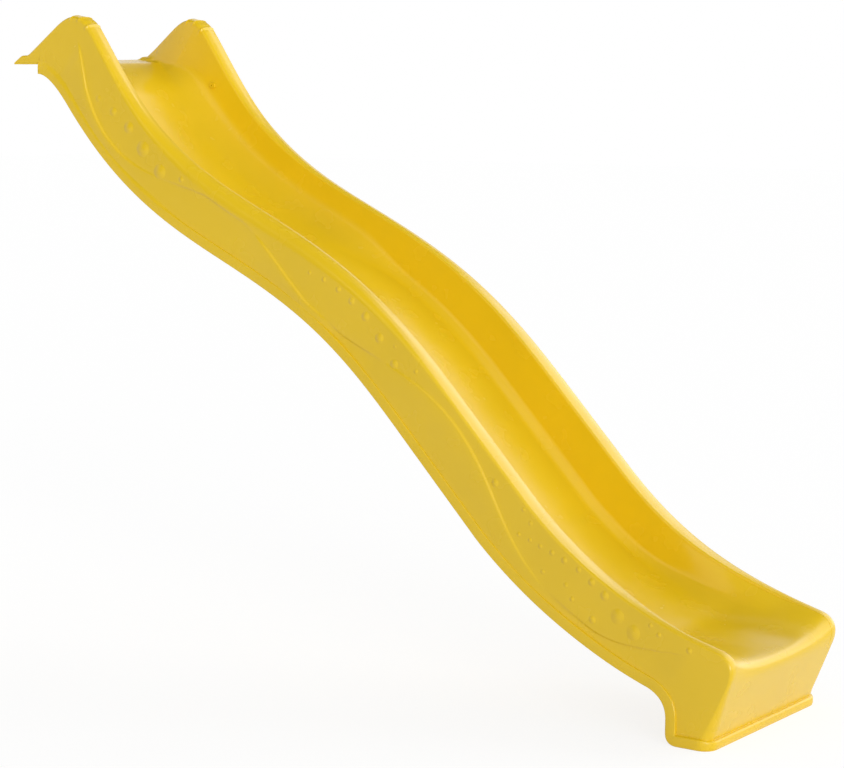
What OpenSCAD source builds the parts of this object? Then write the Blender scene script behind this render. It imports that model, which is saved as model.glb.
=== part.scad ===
// Wave slide: a twin-wall moulded plastic slide that hooks on to a play platform.
// The side profile lies in x and z: x runs downhill from the platform's edge, z up from the ground.
// Each station of the profile pairs a point on the lower edge with a point on the rim,
// and the two skins are lofted through the sections at these stations.

/* [Platform] */
// Height of the platform that the slide hooks on to
deck_h = 1500; // [1400:10:1700]
// Reach of the deck lip over the platform
lip_reach = 87; // [75:1:110]
// Length of the bevel at the rear of the lip
lip_bevel = 25; // [15:1:30]
// Height of the bevel's lower edge above the platform
lip_edge = 8; // [8:0.5:12]
// Height of the lip's ears above the platform
ear_h = 23; // [20:1:32]
// Length of the flat on each ear
ear_flat = 21; // [10:1:30]
// Height of the bed above the platform where it crosses the platform's edge
lip_t = 9; // [8:0.5:14]
// Fall of the bed over the lip
lip_fall = 4.5; // [2:0.5:8]
// Distance from the platform's edge to the bend at the end of the lip
bend_x = 20; // [14:1:26]
// Slope of the bed just past that bend
bend_angle = 24; // [18:1:30]
// Drop of the hook face below the platform's top
hook_drop = 25; // [18:1:40]
// Distance between the two deck screws
screw_pitch = 280; // [200:10:340]
// Distance of the deck screws behind the platform's edge
screw_back = 30; // [20:1:38]
// Radius of the deck screw holes
screw_r = 4.5; // [3:0.25:6]

/* [Head] */
// Slope of the head's rear edge
head_angle = 35; // [28:1:42]
// Distance from the platform's edge to the start of the rim's first drop
head_x = 178; // [165:1:200]
// Height of that start above the platform
head_z = 80.5; // [65:0.5:95]
// Length of the blend that rounds the peak
head_blend = 65; // [45:1:80]

/* [Wave] */
// Slope at the top of the first drop
drop1_angle = 54.2; // [48:0.2:58]
// Slope of the flat between the drops
flat_angle = 24.8; // [18:0.2:30]
// Slope of the second drop
drop2_angle = 46.2; // [42:0.2:52]
// Slope at the end of the run-out
exit_angle = 15.8; // [8:0.2:20]
// Length of the easing from the first drop to the flat
drop1_len = 700; // [620:10:760]
// Length of the easing from the flat to the second drop
drop2_len = 770; // [650:10:820]
// Length of the run-out arc
runout_len = 570; // [520:10:640]
// Height of the rim at the end of the run-out
exit_h = 226; // [215:1:260]

/* [Section] */
// Width over the side walls
body_w = 496; // [440:2:560]
// Width of each rim
rim_w = 52; // [40:1:62]
// Width of each rim at the exit
exit_rim_w = 20; // [16:1:30]
// Depth from rim to lower edge at the first drop
depth_drop1 = 171; // [160:1:185]
// Depth at the flat
depth_flat = 152; // [145:1:170]
// Depth at the second drop
depth_drop2 = 167; // [155:1:185]
// Depth at the end of the run-out
depth_exit = 137; // [130:1:150]
// Height of the bed over the lower edge
bed_lift = 48; // [36:1:52]
// Depth of the exit lip's middle below the end of the run-out
exit_bed = 52; // [44:1:60]
// Length over which the bed scoops up to the exit lip
scoop_len = 150; // [120:5:200]
// Slope of the bed where it meets the exit lip
brink_rise = 2.5; // [0:0.5:5]
// Length over which the section opens out into the dish of the exit
dish_len = 330; // [250:10:400]
// Draft of each inner wall over the depth of the channel
wall_draft = 12; // [6:1:16]
// Width of the fillet between inner wall and bed on the second drop
fillet_w = 40; // [30:1:60]
// Width of that fillet on the first drop and the flat, where the channel is a bowl
bowl_fillet = 100; // [80:1:115]
// Width of that fillet at the heads
head_fillet = 14; // [10:1:20]
// Sag of the bed at its middle
bed_sag = 3; // [0:0.5:6]
// Thickness of each skin
wall = 3.5; // [2.5:0.1:4.5]
// Gap at the weld between the two skins
weld_gap = 0.2; // [0.1:0.05:0.4]
// Height of the band along the lower edge
band_h = 26; // [18:1:32]
// Distance that the band stands proud of the side wall
band_proud = 3; // [2:0.5:5]
// Radius on the outer edge of the rim at the drops
rim_round = 8; // [5:0.5:10]
// Radius on that edge at the flat and the exit
soft_round = 16; // [12:0.5:20]
// Radius on the inner edge of the rim
rim_inner_round = 8; // [5:0.5:10]

/* [Side ornament] */
// Half width of the wave groove on the side walls
groove_w = 4; // [2.5:0.5:6]
// Depth of the wave groove
groove_t = 2; // [0.5:0.25:2.5]
// Depth of the groove's troughs below the rim
trough_d = 121; // [110:1:123]
// Depth of the groove's crests below the rim
crest_d = 28; // [26:1:45]

/* [Foot] */
// Length of the foot along the ground
foot_len = 115; // [105:1:140]
// Reach of the exit nose past the run-out
nose_reach = 89; // [80:1:110]
// Length of the blend on each side of the nose's corner
nose_blend = 56; // [45:1:70]
// Distance of the exit lip behind the nose's corner
brink_back = 51; // [42:1:60]
// Distance down the apron at which the lip's round ends
brink_turn = 68; // [60:1:80]
// Slant of the apron below the nose
apron_slant = 21; // [12:1:26]
// Radius on the apron's corners
apron_round = 28; // [15:1:32]
// Height of the flange round the foot
flange_h = 22; // [18:1:30]
// Distance that the flange stands proud of the apron
flange_proud = 8; // [5:0.5:14]
// Distance that the flange stands proud of the side walls
flange_side = 7; // [5:0.5:10]
// Radius on the flange's front corners
flange_round = 26; // [18:1:40]
// Radius where the foot's rear face meets the ground
toe_round = 30; // [20:1:36]
// Length of the blend from the lower edge to the foot's rear face
foot_blend = 47; // [35:1:60]

/* [Underside] */
// Recess of the underside between its edges
panel_recess = 14; // [8:1:18]
// Width of the land along each edge
land_w = 32; // [22:1:44]
// Distance of each stiffening channel from the middle
channel_y = 90; // [70:1:120]
// Width of each channel at its top
channel_w = 22; // [14:1:34]
// Gap between the channels and the bed
channel_gap = 1; // [0.8:0.1:2]
// Radius of the blow hole plugs
plug_r = 7; // [5:0.5:9]

/* [Water inlet] */
// Distance of the inlet along the rim from the start of the first drop
jet_s = 132; // [120:1:144]
// Depth of the inlet below the rim
jet_d = 48; // [40:1:49]
// Radius of the nozzle's threaded tube
tube_r = 4; // [3.5:0.25:5]
// Radius of the water way
bore_r = 2; // [1.5:0.25:2.5]
// Radius of the nozzle's face
face_r = 7; // [6.5:0.25:9]
// Thickness of the nozzle's face
face_t = 2; // [1.5:0.25:3]
// Thickness of the seals
seal_t = 1.5; // [1:0.25:2.5]
// Height of the seat that the nozzle's face lies on
seat_h = 2.2; // [2:0.1:3]
// Height of the lock nut
nut_h = 6; // [4:0.5:9]
// Distance across the flats of the lock nut
nut_af = 17; // [15:0.5:21]
// Length of the nipple's collar
collar_l = 10; // [8:0.5:14]
// Radius of the nipple's collar
collar_r = 11; // [9:0.5:13]
// Length of the nipple's snout
snout_l = 24; // [20:1:30]
// Radius of the nipple's snout
snout_r = 7.5; // [6.5:0.25:8.5]
// Radius of the ring's section on the snout
ring_r = 1.2; // [1:0.1:1.6]
// Clearance between parts that slip over each other
slip = 0.15; // [0.1:0.05:0.3]

/* [Hidden] */
$fn = 64;
yellow = [0.93, 0.75, 0.10];
black = [0.10, 0.10, 0.11];
grey = [0.55, 0.56, 0.58];
// Overrun of a cut past the faces that it opens
over = 1;

// Curves in the profile plane

function ease(a, b, t) = a + (b - a) * (1 - cos(180 * t)) / 2;
function mean(v) = v * [for (x = v) 1] / len(v);
function heading(a) = [cos(a), sin(a)];
function turn_left(v) = [-v.y, v.x];
function unit(v) = v / norm(v);
function blend(p, c, q, t) = p * (1 - t) * (1 - t) + c * 2 * t * (1 - t) + q * t * t;
// Crossing of a line through p with heading a and a line through q with heading b
function meet(p, a, q, b) =
    let (side = turn_left(heading(b)))
    p + heading(a) * ((q - p) * side) / (heading(a) * side);

// The rim: two drops with a flat between them, then the run-out

samples = 48;
mids = [for (i = [0.5 : samples]) i / samples];
fall1 = drop1_len * mean([for (t = mids) sin(ease(drop1_angle, flat_angle, t))]);
fall2 = drop2_len * mean([for (t = mids) sin(ease(flat_angle, drop2_angle, t))]);
fall3 = runout_len * mean([for (t = mids) sin(drop2_angle + (exit_angle - drop2_angle) * t)]);
straight_len = (deck_h + head_z - exit_h - fall1 - fall2 - fall3) / sin(drop2_angle);
s_flat = drop1_len;
s_drop2 = s_flat + drop2_len;
s_runout = s_drop2 + straight_len;
s_end = s_runout + runout_len;

// A value that eases from stretch to stretch along the rim
function along(s, top, flat, drop, end) =
    s < s_flat ? ease(top, flat, s / drop1_len) :
    s < s_drop2 ? ease(flat, drop, (s - s_flat) / drop2_len) :
    s < s_runout ? drop :
    drop + (end - drop) * (s - s_runout) / runout_len;
function slope(s) = along(s, drop1_angle, flat_angle, drop2_angle, exit_angle);
function depth(s) = along(s, depth_drop1, depth_flat, depth_drop2, depth_exit);

path_n = 240;
path_step = s_end / path_n;
rim_start = [head_x, deck_h + head_z];
function path_move(i) = path_step * heading(-slope((i + 0.5) * path_step));
rim_path = [for (i = 0, p = rim_start; i <= path_n; p = p + path_move(i), i = i + 1) p];
function rim(s) =
    let (k = min(floor(s / path_step), path_n - 1), f = s / path_step - k)
    rim_path[k] * (1 - f) + rim_path[k + 1] * f;
function rim_normal(s) = turn_left(heading(-slope(s)));
function low(s) = rim(s) - depth(s) * rim_normal(s);

// The head that rises on each side of the deck

slope_foot = [-(lip_reach - lip_bevel - ear_flat), deck_h + ear_h];
head_corner = meet(slope_foot, head_angle, rim_start, -drop1_angle);
peak_start = head_corner - head_blend * heading(head_angle);
function head_edge(x) =
    x < lip_bevel - lip_reach ? lip_edge + (ear_h - lip_edge) * (x + lip_reach) / lip_bevel :
    x < slope_foot.x ? ear_h :
    ear_h + (x - slope_foot.x) * tan(head_angle);

// The exit nose, the apron and the foot

rim_end = rim(s_end);
nose_corner = rim_end + nose_reach * heading(-exit_angle);
nose_start = nose_corner - nose_blend * heading(-exit_angle);
apron_heading = -90 - apron_slant;
apron_top = nose_corner + nose_blend * heading(apron_heading);
apron_foot = nose_corner + heading(apron_heading) * (nose_corner.y - flange_h) / cos(apron_slant);
sole_front = apron_foot.x + flange_proud;
foot_rear = sole_front - foot_len;
sole_mid = foot_rear + toe_round + (foot_len - toe_round) / 2;
s_foot = max([for (i = [0 : path_n]) low(i * path_step).x < foot_rear - foot_blend ? i * path_step : 0]);
foot_corner = meet(low(s_foot), -slope(s_foot), [foot_rear, 0], 90);
foot_top = [foot_rear, foot_corner.y - foot_blend];
toe = [foot_rear, toe_round];

// Stations, from the rear of the lip to the front of the foot

skin_gap = wall + weld_gap;
deck_x = [-lip_reach, lip_bevel / 2 - lip_reach, lip_bevel - lip_reach, slope_foot.x, slope_foot.x / 2, 0];
// The rim moves on by this much while the lower edge turns down the hook face
hook_lead = 6;
// The hook face blends into the lower edge at this distance along the rim
brow_s = 110;
hook_toe = [0, deck_h - hook_drop];
brow_corner = meet(hook_toe, 0, low(brow_s), -slope(brow_s));
// Half of the slope on the flange's upper edge
flange_step = 2;
// Counts of steps along the peak, brow, slide, run-out, nose, blend to the foot, toe and sole
peak_n = 5;
brow_n = 3;
slide_n = 33;
runout_n = 3;
nose_n = 6;
foot_n = 8;
toe_n = 4;
sole_n = 8;
function slide_s(i) = brow_s + (s_foot - brow_s) * i / slide_n;

rim_deck = [for (x = deck_x) [x, deck_h + head_edge(x)]];
rim_fan = concat(
    [for (x = [hook_lead, peak_start.x / 2, peak_start.x]) [x, deck_h + head_edge(x)]],
    [for (i = [1 : peak_n - 1]) blend(peak_start, head_corner, rim_start, i / peak_n)],
    [for (i = [0 : brow_n]) rim(brow_s * i / brow_n)]);
fan_n = len(rim_fan);
rim_slide = [for (i = [1 : slide_n]) rim(slide_s(i))];
rim_foot = concat(
    [for (i = [1 : runout_n]) rim(s_foot + (s_end - s_foot) * i / runout_n)],
    [nose_start],
    [for (i = [1 : nose_n]) blend(nose_start, nose_corner, apron_top, i / nose_n)],
    [(apron_top + apron_foot) / 2, apron_foot + [0, flange_step]],
    [[sole_front, flange_h - flange_step], [sole_front, skin_gap]]);
rims = concat(rim_deck, rim_fan, rim_slide, rim_foot);

low_deck = [for (x = deck_x) [x, deck_h]];
low_fan = [for (i = [0 : fan_n - 1]) blend(hook_toe, brow_corner, low(brow_s), i / (fan_n - 1))];
low_slide = [for (i = [1 : slide_n]) low(slide_s(i))];
low_foot = concat(
    [for (i = [1 : foot_n]) blend(low(s_foot), foot_corner, foot_top, i / foot_n)],
    [(foot_top + toe) / 2, toe],
    [for (i = [1 : toe_n]) blend(toe, [foot_rear, 0], [foot_rear + toe_round, 0], i / toe_n)]);
lows = concat(low_deck, low_fan, low_slide, low_foot);

deck_n = len(deck_x);
foot_i = deck_n + fan_n + slide_n;
nose_i = foot_i + runout_n;
flange_i = len(rims) - 2;
station_n = len(rims);
function last(v) = v[len(v) - 1];

// The sole runs on from the last station to the front of the foot
sole_x = [for (i = [1 : sole_n]) last(lows).x + (sole_front - last(lows).x) * sin(90 * i / sole_n)];
floor_line = concat(lows, [for (x = sole_x) [x, 0]]);

// Inward normals of the lower line, mitred at its corners
function edge_normal(i) = turn_left(unit(floor_line[i + 1] - floor_line[i]));
floor_n = len(floor_line);
floor_normals = [for (i = [0 : floor_n - 1])
    let (a = edge_normal(max(i - 1, 0)), b = edge_normal(min(i, floor_n - 2))) (a + b) / (1 + a * b)];
feet = [for (i = [0 : station_n - 1]) lows[i] + skin_gap * floor_normals[i]];
ups = [for (i = [0 : station_n - 1]) unit(rims[i] - feet[i])];
heights = [for (i = [0 : station_n - 1]) norm(rims[i] - feet[i])];

// Distance along the rim at a station, where there is a groove
function station_s(i) =
    i < deck_n + fan_n - brow_n - 1 ? -1 :
    i < deck_n + fan_n ? brow_s * (i - deck_n - fan_n + brow_n + 1) / brow_n :
    i < foot_i ? slide_s(i - deck_n - fan_n + 1) :
    i < nose_i ? s_foot + (s_end - s_foot) * (i - foot_i + 1) / runout_n : -1;

// The middle of the bed at the entry: it runs level over the lip, then bends down into the first drop
bend = [bend_x, deck_h + lip_t - bend_x * tan(lip_fall)];
function slide_bed(s) = low(s) + bed_lift * rim_normal(s);
bend_corner = meet(bend, -bend_angle, slide_bed(brow_s), -slope(brow_s));
bed_steps = [for (i = [1 : samples]) i / samples];
entry_line = concat(
    [bend - [lip_reach, -lip_reach * tan(lip_fall)], bend],
    [for (t = bed_steps) blend(bend, bend_corner, slide_bed(brow_s), t)],
    [slide_bed(brow_s + path_step)]);

// The middle of the bed near the exit: it scoops up to the lip and turns over it down to the apron
scoop_s = s_end - scoop_len;
scoop_start = slide_bed(scoop_s);
brink = [nose_corner.x - brink_back, exit_h - exit_bed];
brink_end = nose_corner + brink_turn * heading(apron_heading);
scoop_corner = meet(scoop_start, -slope(scoop_s), brink, brink_rise);
brink_corner = meet(brink, brink_rise, nose_corner, apron_heading);
exit_line = concat(
    [slide_bed(scoop_s - scoop_len), scoop_start],
    [for (t = bed_steps) blend(scoop_start, scoop_corner, brink, t)],
    [for (t = bed_steps) blend(brink, brink_corner, brink_end, t)],
    [apron_foot]);
// Distance from a point down its up direction to a line
function to_line(p, up, points) = let (
    off = [for (c = points) (c - p) * turn_left(up)],
    sunk = [for (c = points) (p - c) * up],
    hits = [for (k = [0 : len(points) - 2])
        if (off[k] * off[k + 1] < 0) (sunk[k] * off[k + 1] - sunk[k + 1] * off[k]) / (off[k + 1] - off[k])])
    len(hits) == 0 ? 0 : max(min(hits), 0);

// Depth of the bed below the rim at each station
bed_min = 0.5;
function deck_bed(x) = max(head_edge(x) - (lip_t - x * tan(lip_fall)), bed_min);
slide_lift = bed_lift - skin_gap;
function bed_depth(i) =
    i < deck_n ? deck_bed(deck_x[i]) :
    i < deck_n + fan_n ? to_line(rims[i], ups[i], entry_line) :
    i < nose_i && station_s(i) < scoop_s ? heights[i] - slide_lift :
    i <= nose_i + nose_n ? to_line(rims[i], ups[i], exit_line) : 0;

// Shares of the way by which the section has left the head, drawn its fillets in for the second drop,
// narrowed its rims and opened into the dish
drawn_start = 650;
drawn_len = 350;
function share(a, n) = ease(0, 1, min(max(a / n, 0), 1));
function opened(i) = share(i - deck_n, fan_n + 1);
function drawn(i) = i < nose_i ? share(station_s(i) - drawn_start, drawn_len) : 1;
function narrowed(i) = share(i - foot_i + 1, runout_n + 1);
function dished(i) = i < nose_i ? ease(0, 1, max((station_s(i) - s_end) / dish_len + 1, 0)) : 1;
// Power of the dish's curve from its middle to the rims
dish_power = 2.2;

// Half widths: the band stands proud from the hook down to the foot, where it widens into the flange
function band_out(i) =
    i < deck_n ? 0 :
    i == deck_n ? band_proud / 2 :
    band_proud + (flange_side - band_proud) * share(i - foot_i, flange_i - foot_i);
function flange_out(i) = i < flange_i ? 0 : flange_side;
function corner_round(i) =
    i < nose_i ? along(max(station_s(i), 0), rim_round, soft_round, rim_round, soft_round) :
    i < flange_i ? ease(soft_round, apron_round, (i - nose_i + 1) / (flange_i - nose_i)) :
    flange_round;

// The wave groove swings between crests and troughs along the side walls
// Each turn is a share of the rim's length and of the groove's swing
turns = [[-0.05, 0.06], [0.097, 1], [0.27, 0], [0.452, 1], [0.65, 0], [0.84, 0.9], [0.88, 0.87], [1, 0.05]];
function swing(f, k) =
    let (a = turns[k], b = turns[k + 1])
    k == len(turns) - 2 || f < b[0] ? ease(a[1], b[1], min((f - a[0]) / (b[0] - a[0]), 1)) : swing(f, k + 1);
function groove_d(i) =
    station_s(i) < 0 ? heights[i] / 2 : crest_d + (trough_d - crest_d) * swing(station_s(i) / s_end, 0);
function groove_in(i) = station_s(i) < 0 ? 0 : groove_t;

// Limits that keep the section's rounds, band and groove apart where the section is low
round_share = 0.3;
band_share = 0.4;
band_bevel = 0.1;
groove_share = 0.2;
groove_room = 1.5;
rim_flat = 4;
// Shares of the bed's depth at which the inner wall ends and its fillet starts,
// on the second drop, in the bowl and at the heads
ledge = 0.74;
bowl_ledge = 0.42;
head_ledge = 0.9;
// Shares of the bed's half width at the points across it
bed_shares = [0.6, 0.3, 0];

// One side of the section at a station, from its foot over the rim to the middle of the bed.
// Each point is a distance from the middle and a height over the foot.
function half_section(i) = let (
    h = heights[i],
    b = bed_depth(i),
    w = body_w / 2 + flange_out(i),
    out = max(band_out(i) - flange_out(i), 0),
    r = min(corner_round(i), round_share * h),
    band = min(band_h, band_share * h),
    g = min(groove_w, groove_share * (h - band - r)),
    gh = min(max(h - groove_d(i), band + groove_room * g), h - r - groove_room * g),
    rim = rim_w + (exit_rim_w - rim_w) * narrowed(i),
    inner = w - max(rim, r + rim_inner_round + rim_flat),
    ri = min(rim_inner_round, round_share * b),
    bowl = [head_fillet, head_ledge] * (1 - opened(i)) + [bowl_fillet, bowl_ledge] * opened(i),
    corner = bowl * (1 - drawn(i)) + [fillet_w, ledge] * drawn(i),
    fillet = corner[0],
    wall_end = corner[1],
    foot_y = inner - wall_draft * wall_end,
    bed_w = foot_y - fillet,
    basin = concat(
        [for (a = [0 : 22.5 : 90])
            [foot_y - fillet * (1 - cos(a)), b * (wall_end + (1 - wall_end) * sin(a))]],
        [for (f = bed_shares) [bed_w * f, b + min(bed_sag, b) * (1 - f * f)]]),
    n = len(basin),
    dish = [for (k = [n - 1 : -1 : 0]) [inner * k / n, ri + (b - ri) * (1 - pow(k / n, dish_power))]],
    open = basin + (dish - basin) * dished(i))
    concat(
        [[w + out, 0], [w + out, band * (1 - band_bevel)], [w, band]],
        [[w, gh - g], [w - groove_in(i), gh], [w, gh + g]],
        [for (a = [0 : 45 : 90]) [w - r + r * cos(a), h - r + r * sin(a)]],
        [for (a = [0 : 45 : 90]) [inner + rim_inner_round * (1 - sin(a)), h - ri * (1 - cos(a))]],
        [for (p = open) [p[0], h - p[1]]]);

// Points of a whole section, from the -y foot to the +y foot
function section(i) = let (half = half_section(i), n = len(half))
    concat([for (k = [0 : n - 1]) place(i, -half[k][0], half[k][1])],
           [for (k = [n - 2 : -1 : 0]) place(i, half[k][0], half[k][1])]);
function place(i, y, h) = [feet[i].x + ups[i].x * h, y, feet[i].y + ups[i].y * h];

// Lofted shells

function grid_normal(g, i, j) = let (
    along = g[min(i + 1, len(g) - 1)][j] - g[max(i - 1, 0)][j],
    across = g[i][min(j + 1, len(g[i]) - 1)] - g[i][max(j - 1, 0)])
    unit(cross(along, across));
// Height of a point over the foot of its station
function over_foot(i, p) = ([p.x, p.z] - feet[i]) * ups[i];
function lifted(i, p) = let (h = over_foot(i, p)) h >= 0 ? p : p - h * [ups[i].x, 0, ups[i].y];

module shell(outer, inner) {
    n = len(outer);
    m = len(outer[0]);
    o = [for (i = [0 : n - 1]) [for (j = [0 : m - 1]) i * m + j]];
    q = [for (i = [0 : n - 1]) [for (j = [0 : m - 1]) n * m + i * m + j]];
    quads = concat(
        [for (i = [0 : n - 2]) for (j = [0 : m - 2]) [o[i][j], o[i][j + 1], o[i + 1][j + 1], o[i + 1][j]]],
        [for (i = [0 : n - 2]) for (j = [0 : m - 2]) [q[i][j], q[i + 1][j], q[i + 1][j + 1], q[i][j + 1]]],
        [for (i = [0 : n - 2]) [o[i][0], o[i + 1][0], q[i + 1][0], q[i][0]]],
        [for (i = [0 : n - 2]) [o[i + 1][m - 1], o[i][m - 1], q[i][m - 1], q[i + 1][m - 1]]],
        [for (j = [0 : m - 2]) [o[0][j + 1], o[0][j], q[0][j], q[0][j + 1]]],
        [for (j = [0 : m - 2]) [o[n - 1][j], o[n - 1][j + 1], q[n - 1][j + 1], q[n - 1][j]]]);
    triangles = [for (f = quads) each [[f[0], f[1], f[2]], [f[0], f[2], f[3]]]];
    polyhedron(points = [for (g = [outer, inner]) for (row = g) each row], faces = triangles);
}

// Places on the finished shells

jet_point = rim(jet_s) - jet_d * rim_normal(jet_s);
wall_y = body_w / 2;
bowl_d = bowl_ledge * (depth(jet_s) - bed_lift);
inner_wall_y = wall_y - rim_w - wall_draft * bowl_ledge * (jet_d - rim_inner_round) / (bowl_d - rim_inner_round);
seat_y = inner_wall_y - seat_h;
seat_edge = 1.5;
module along_y(y) {
    translate([jet_point.x, y, jet_point.y])
        rotate([-90, 0, 0])
            children();
}
module at_screws(z) {
    for (side = [-1, 1])
        translate([-screw_back, side * screw_pitch / 2, z])
            children();
}
module from_sole() {
    translate([-sole_mid, 0, 0])
        children();
}

// The upper skin: bed, inner walls, rims, heads, outer walls, nose and apron

module channel_shell() {
    outer = [for (i = [0 : station_n - 1]) section(i)];
    inner = [for (i = [0 : station_n - 1]) [for (j = [0 : len(outer[i]) - 1])
        lifted(i, outer[i][j] - wall * grid_normal(outer, i, j))]];
    color(yellow)
        from_sole()
            difference() {
                union() {
                    shell(outer, inner);
                    along_y(seat_y)
                        cylinder(r = face_r + seat_edge, h = seat_h + wall / 2);
                }
                along_y(seat_y - over)
                    cylinder(r = tube_r + slip, h = wall_y - seat_y + 2 * over);
                at_screws(deck_h)
                    cylinder(r = screw_r, h = ear_h);
            }
}

// The lower skin: deck lip's underside, hook, underside, foot's rear and sole

sole_corner_x = sole_front - flange_round;
function floor_half(i) =
    let (x = floor_line[i].x, w = wall_y + band_out(min(i, station_n - 1)))
    i < station_n || x < sole_corner_x ? w :
    w - flange_round + sqrt(max(pow(flange_round, 2) - pow(x - sole_corner_x, 2), 1));
// The panel is recessed along the slide only, and comes level at both ends
ramp_n = 2;
function recess(i) =
    let (first_i = deck_n + fan_n - 1, last_i = foot_i - 1)
    i < first_i || i > last_i ? 0 : min(i - first_i, last_i - i, ramp_n) / ramp_n;
channel_lift = bed_lift - bed_sag - 2 * wall - channel_gap;
function floor_section(i) = let (
    w = floor_half(i),
    c = panel_recess * recess(i),
    top = channel_lift * recess(i),
    side = [[w, 0], [w - land_w, 0], [w - land_w - panel_recess, c],
            [channel_y + channel_w, c], [channel_y + channel_w / 2, top],
            [channel_y - channel_w / 2, top], [channel_y - channel_w, c]])
    concat([for (p = side) [-p[0], p[1]]], [for (k = [len(side) - 1 : -1 : 0]) side[k]]);
function floor_place(i, y, h) = let (p = floor_line[i] + floor_normals[i] * h) [p.x, y, p.y];

module underside_shell() {
    sections = [for (i = [0 : floor_n - 1]) floor_section(i)];
    lower_face = [for (i = [0 : floor_n - 1]) [for (p = sections[i]) floor_place(i, p[0], p[1])]];
    upper_face = [for (i = [0 : floor_n - 1]) [for (p = sections[i]) floor_place(i, p[0], p[1] + wall)]];
    color(yellow)
        from_sole()
            difference() {
                shell(upper_face, lower_face);
                at_screws(deck_h - over)
                    cylinder(r = screw_r, h = wall + 2 * over);
                at_plugs()
                    cylinder(r = plug_r - plug_head_edge + slip, h = 4 * wall, center = true);
            }
}

// Plugs that close the blow holes, in the middle of the underside

plug_stations = [deck_n + fan_n + 5, foot_i - 8];
plug_head_t = 2;
plug_head_edge = 2;
plug_tip = 2;
module at_plugs() {
    for (i = plug_stations) {
        mid = (floor_place(i, 0, panel_recess) + floor_place(i + 1, 0, panel_recess)) / 2;
        dir = floor_line[i + 1] - floor_line[i];
        translate(mid)
            rotate([0, atan2(-dir.y, dir.x), 0])
                children();
    }
}
module blow_plugs() {
    color(yellow)
        from_sole()
            at_plugs() {
                translate([0, 0, -plug_head_t - slip])
                    cylinder(r = plug_r, h = plug_head_t);
                translate([0, 0, -plug_head_t - slip])
                    cylinder(r = plug_r - plug_head_edge, h = plug_head_t + slip + wall + plug_tip);
            }
}

// The water inlet: a nozzle through the +y wall, its seals, nut and hose nipple

face_y = seat_y - seal_t - face_t - 2 * slip;
nut_y = wall_y + seal_t + 2 * slip;
collar_y = nut_y + nut_h + seal_t + 2 * slip;
snout_y = collar_y + collar_l;
// The tube ends this far short of the nipple's step
tube_back = 2;
tube_end = snout_y - tube_back;
// Share of the snout's length at which its ring sits
ring_place = 0.35;
ring_y = snout_y + snout_l * ring_place;
washer_edge = 1;
seal_edge = 0.5;
nut_bevel = 1.1;

module ring(r, bore, h) {
    difference() {
        cylinder(r = r, h = h);
        translate([0, 0, -over])
            cylinder(r = bore, h = h + 2 * over);
    }
}
module jet_nozzle() {
    color(yellow)
        from_sole()
            along_y(face_y)
                difference() {
                    union() {
                        cylinder(r = face_r, h = face_t);
                        cylinder(r = tube_r, h = tube_end - face_y);
                    }
                    translate([0, 0, -over])
                        cylinder(r = bore_r, h = tube_end - face_y + 2 * over);
                }
}
module inner_seal() {
    color(black)
        from_sole()
            along_y(seat_y - seal_t - slip)
                ring(face_r - seal_edge, tube_r + slip, seal_t);
}
module outer_seal() {
    color(black)
        from_sole()
            along_y(wall_y + slip)
                ring(nut_af / 2, tube_r + slip, seal_t);
}
module lock_nut() {
    color(grey)
        from_sole()
            along_y(nut_y)
                difference() {
                    intersection() {
                        cylinder(r = nut_af / 2 / cos(30), h = nut_h, $fn = 6);
                        cylinder(r = nut_af / 2 * nut_bevel, h = nut_h);
                    }
                    translate([0, 0, -over])
                        cylinder(r = tube_r + slip, h = nut_h + 2 * over);
                }
}
module nipple_washer() {
    color(black)
        from_sole()
            along_y(nut_y + nut_h + slip)
                ring(collar_r - washer_edge, tube_r + slip, seal_t);
}
module hose_nipple() {
    color(grey)
        from_sole()
            along_y(collar_y)
                difference() {
                    union() {
                        cylinder(r = collar_r, h = collar_l);
                        cylinder(r = snout_r, h = collar_l + snout_l);
                    }
                    translate([0, 0, -over])
                        cylinder(r = tube_r + slip, h = collar_l + over);
                    cylinder(r = bore_r, h = collar_l + snout_l + over);
                    translate([0, 0, ring_y - collar_y])
                        rotate_extrude()
                            translate([snout_r, 0])
                                square([2 * ring_r, 2 * ring_r + 2 * slip], center = true);
                }
}
module nipple_o_ring() {
    color(black)
        from_sole()
            along_y(ring_y)
                rotate_extrude()
                    translate([snout_r + slip, 0])
                        circle(r = ring_r);
}

channel_shell();
underside_shell();
jet_nozzle();
inner_seal();
outer_seal();
lock_nut();
nipple_washer();
hose_nipple();
nipple_o_ring();
blow_plugs();
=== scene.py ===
"""Wave slide: the visual model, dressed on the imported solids, with its materials and a small studio."""

import math

import bpy
import numpy as np
from bpy.props import FloatProperty, FloatVectorProperty, PointerProperty
from bpy.types import Operator, Panel, PropertyGroup
from mathutils import Matrix, Vector


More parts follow.
